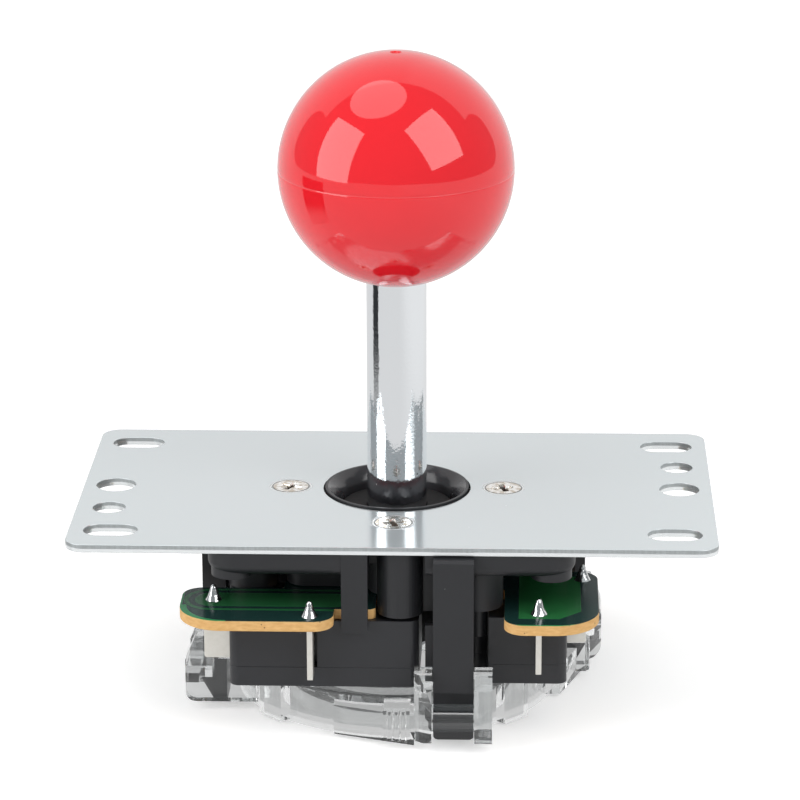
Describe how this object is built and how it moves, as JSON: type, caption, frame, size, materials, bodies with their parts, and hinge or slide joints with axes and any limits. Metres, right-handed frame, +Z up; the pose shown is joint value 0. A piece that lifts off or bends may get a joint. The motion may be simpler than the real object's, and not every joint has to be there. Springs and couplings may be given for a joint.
{
  "type": "arcade joystick lever",
  "caption": "Ball-topped arcade joystick lever on a slotted steel mounting plate, with a sprung pivot, microswitches on a circuit board and a clear clip-on square restrictor gate.",
  "frame": {"origin": "centre of the mounting plate's top face, on the axis of the upright lever", "axes": "+Z up along the lever towards the ball, +X along the plate's length, +Y to the back"},
  "size_m": [0.095, 0.0626, 0.0977],
  "materials": {
    "zinc_plate": "smooth bright zinc plate",
    "nickel_screws": "nickel plate",
    "black_nylon": "satin moulded",
    "chromed_shaft": "polished",
    "red_ball": "high gloss",
    "brass_insert": "turned",
    "spring_steel": "bright",
    "black_switch": "satin moulded",
    "switch_plunger": "smooth",
    "tinned_terminals": "tin plate",
    "green_board": "solder mask",
    "solder": "bright solder",
    "header_plastic": "natural nylon",
    "clear_gate": "clear polycarbonate"
  },
  "bodies": {
    "root": {"mounting_plate": "zinc_plate", "plate_screws": "nickel_screws", "housing": "black_nylon", "spring_washer": "spring_steel", "circuit_board": "green_board", "solder_joints": "solder", "harness_header": "header_plastic", "header_pins": "tinned_terminals", "gate": "clear_gate", "restrictor_plate": "clear_gate", "switch_case_front": "black_switch", "switch_cover_front": "black_switch", "common_terminal_front": "tinned_terminals", "end_terminal_front": "tinned_terminals", "switch_case_right": "black_switch", "switch_cover_right": "black_switch", "common_terminal_right": "tinned_terminals", "end_terminal_right": "tinned_terminals", "switch_case_back": "black_switch", "switch_cover_back": "black_switch", "common_terminal_back": "tinned_terminals", "end_terminal_back": "tinned_terminals", "switch_case_left": "black_switch", "switch_cover_left": "black_switch", "common_terminal_left": "tinned_terminals", "end_terminal_left": "tinned_terminals"},
    "spring": {"return_spring": "spring_steel"},
    "tilting_pivot": {"pivot": "black_nylon", "actuator": "black_nylon"},
    "stick": {"shaft": "chromed_shaft", "ball_top": "red_ball", "ball_insert": "brass_insert", "e_clip": "spring_steel"},
    "plunger_front": {"switch_plunger_front": "switch_plunger"},
    "plunger_right": {"switch_plunger_right": "switch_plunger"},
    "plunger_back": {"switch_plunger_back": "switch_plunger"},
    "plunger_left": {"switch_plunger_left": "switch_plunger"}
  },
  "joints": [
    {"name": "tilt_front_back", "type": "hinge", "parent": "root", "child": "spring", "pos_m": [0, 0, -0.004], "axis": [1, 0, 0], "range_deg": [-7.5, 7.5], "stiffness_Nm_per_rad": 0.8},
    {"name": "tilt_left_right", "type": "hinge", "parent": "spring", "child": "tilting_pivot", "pos_m": [0, 0, -0.004], "axis": [0, 1, 0], "range_deg": [-7.5, 7.5], "stiffness_Nm_per_rad": 0.8, "deforming": ["return_spring"]},
    {"name": "shaft_spin", "type": "hinge", "parent": "tilting_pivot", "child": "stick", "pos_m": [0, 0, -0.004], "axis": [0, 0, 1], "continuous": true},
    {"name": "plunger_travel_front", "type": "slide", "parent": "root", "child": "plunger_front", "axis": [0, -1, 0], "range_m": [-0.00116, 0.00116]},
    {"name": "plunger_travel_right", "type": "slide", "parent": "root", "child": "plunger_right", "axis": [1, 0, 0], "range_m": [-0.00116, 0.00116]},
    {"name": "plunger_travel_back", "type": "slide", "parent": "root", "child": "plunger_back", "axis": [0, 1, 0], "range_m": [-0.00116, 0.00116]},
    {"name": "plunger_travel_left", "type": "slide", "parent": "root", "child": "plunger_left", "axis": [-1, 0, 0], "range_m": [-0.00116, 0.00116]}
  ],
  "couplings": [
    {"joint": "plunger_travel_front", "follows": "tilt_front_back", "m_per_rad": -0.008785},
    {"joint": "plunger_travel_right", "follows": "tilt_left_right", "m_per_rad": -0.008785},
    {"joint": "plunger_travel_back", "follows": "tilt_front_back", "m_per_rad": 0.008785},
    {"joint": "plunger_travel_left", "follows": "tilt_left_right", "m_per_rad": 0.008785}
  ]
}
